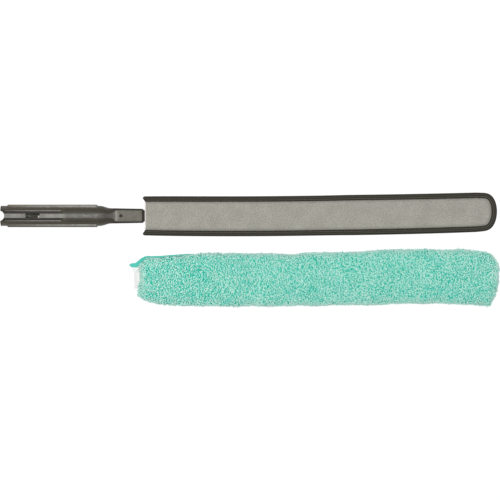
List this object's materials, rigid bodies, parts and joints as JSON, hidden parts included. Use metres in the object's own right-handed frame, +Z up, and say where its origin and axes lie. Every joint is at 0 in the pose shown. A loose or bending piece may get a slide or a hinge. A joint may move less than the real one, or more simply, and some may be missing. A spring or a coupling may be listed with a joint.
{
  "type": "microfibre duster",
  "caption": "Flexible padded dusting blade on a socket handle for an extension pole, with its looped-pile microfibre sleeve taken off beside it.",
  "frame": {"origin": "on the floor, in the middle of the box round the wand and the sleeve", "axes": "+X along the wand from the socket's end to the blade's tip, +Z up from the floor, +Y from the sleeve to the wand"},
  "size_m": [0.723, 0.1651, 0.0305],
  "materials": {
    "handle_plastic": "fine moulded stipple",
    "core_metal": "bare strip",
    "pin_metal": "darkened",
    "foam": "open-cell foam padding",
    "cover_fabric": "grey brushed knit",
    "binding_fabric": "black ribbed tape",
    "pile_fabric": "aqua looped microfibre pile",
    "seam_fabric": "smooth aqua tape",
    "label_fabric": "blank white satin"
  },
  "bodies": {
    "handle": {"handle_barrel": "handle_plastic", "core_pin": "pin_metal", "core_strip_0": "core_metal", "foam_pad_0": "foam", "top_cover_0": "cover_fabric", "bottom_cover_0": "cover_fabric", "binding_left_0": "binding_fabric", "binding_right_0": "binding_fabric"},
    "blade_1": {"core_strip_1": "core_metal", "foam_pad_1": "foam", "top_cover_1": "cover_fabric", "bottom_cover_1": "cover_fabric", "binding_left_1": "binding_fabric", "binding_right_1": "binding_fabric"},
    "blade_2": {"core_strip_2": "core_metal", "foam_pad_2": "foam", "top_cover_2": "cover_fabric", "bottom_cover_2": "cover_fabric", "binding_left_2": "binding_fabric", "binding_right_2": "binding_fabric"},
    "blade_3": {"core_strip_3": "core_metal", "foam_pad_3": "foam", "top_cover_3": "cover_fabric", "bottom_cover_3": "cover_fabric", "binding_left_3": "binding_fabric", "binding_right_3": "binding_fabric"},
    "blade_4": {"core_strip_4": "core_metal", "foam_pad_4": "foam", "top_cover_4": "cover_fabric", "bottom_cover_4": "cover_fabric", "binding_left_4": "binding_fabric", "binding_right_4": "binding_fabric"},
    "blade_5": {"core_strip_5": "core_metal", "foam_pad_5": "foam", "top_cover_5": "cover_fabric", "bottom_cover_5": "cover_fabric", "binding_tip": "binding_fabric"},
    "sleeve": {"sleeve_sock": "pile_fabric", "sleeve_seam_tape": "seam_fabric", "care_label": "label_fabric"}
  },
  "joints": [
    {"name": "blade_bend_1", "type": "hinge", "parent": "handle", "child": "blade_1", "pos_m": [-0.09216, 0.0488, 0.01413], "axis": [0, 1, 0], "range_deg": [-30, 30], "deforming": ["foam_pad_0", "top_cover_0", "bottom_cover_0", "binding_left_0", "binding_right_0", "foam_pad_1", "top_cover_1", "bottom_cover_1", "binding_left_1", "binding_right_1"]},
    {"name": "blade_bend_2", "type": "hinge", "parent": "blade_1", "child": "blade_2", "pos_m": [-0.00204, 0.0488, 0.01245], "axis": [0, 1, 0], "range_deg": [-30, 30], "deforming": ["foam_pad_2", "top_cover_2", "bottom_cover_2", "binding_left_2", "binding_right_2"]},
    {"name": "blade_bend_3", "type": "hinge", "parent": "blade_2", "child": "blade_3", "pos_m": [0.08809, 0.0488, 0.01077], "axis": [0, 1, 0], "range_deg": [-30, 30], "deforming": ["foam_pad_3", "top_cover_3", "bottom_cover_3", "binding_left_3", "binding_right_3"]},
    {"name": "blade_bend_4", "type": "hinge", "parent": "blade_3", "child": "blade_4", "pos_m": [0.17821, 0.0488, 0.00909], "axis": [0, 1, 0], "range_deg": [-30, 30], "deforming": ["foam_pad_4", "top_cover_4", "bottom_cover_4", "binding_left_4", "binding_right_4"]},
    {"name": "blade_bend_5", "type": "hinge", "parent": "blade_4", "child": "blade_5", "pos_m": [0.26834, 0.0488, 0.00741], "axis": [0, 1, 0], "range_deg": [-30, 30], "deforming": ["foam_pad_5", "top_cover_5", "bottom_cover_5", "binding_tip"]},
    {"name": "sleeve_pull_off", "type": "slide", "parent": "handle", "child": "sleeve", "axis": [1, 0, 0], "range_m": [0, 0.54]}
  ]
}
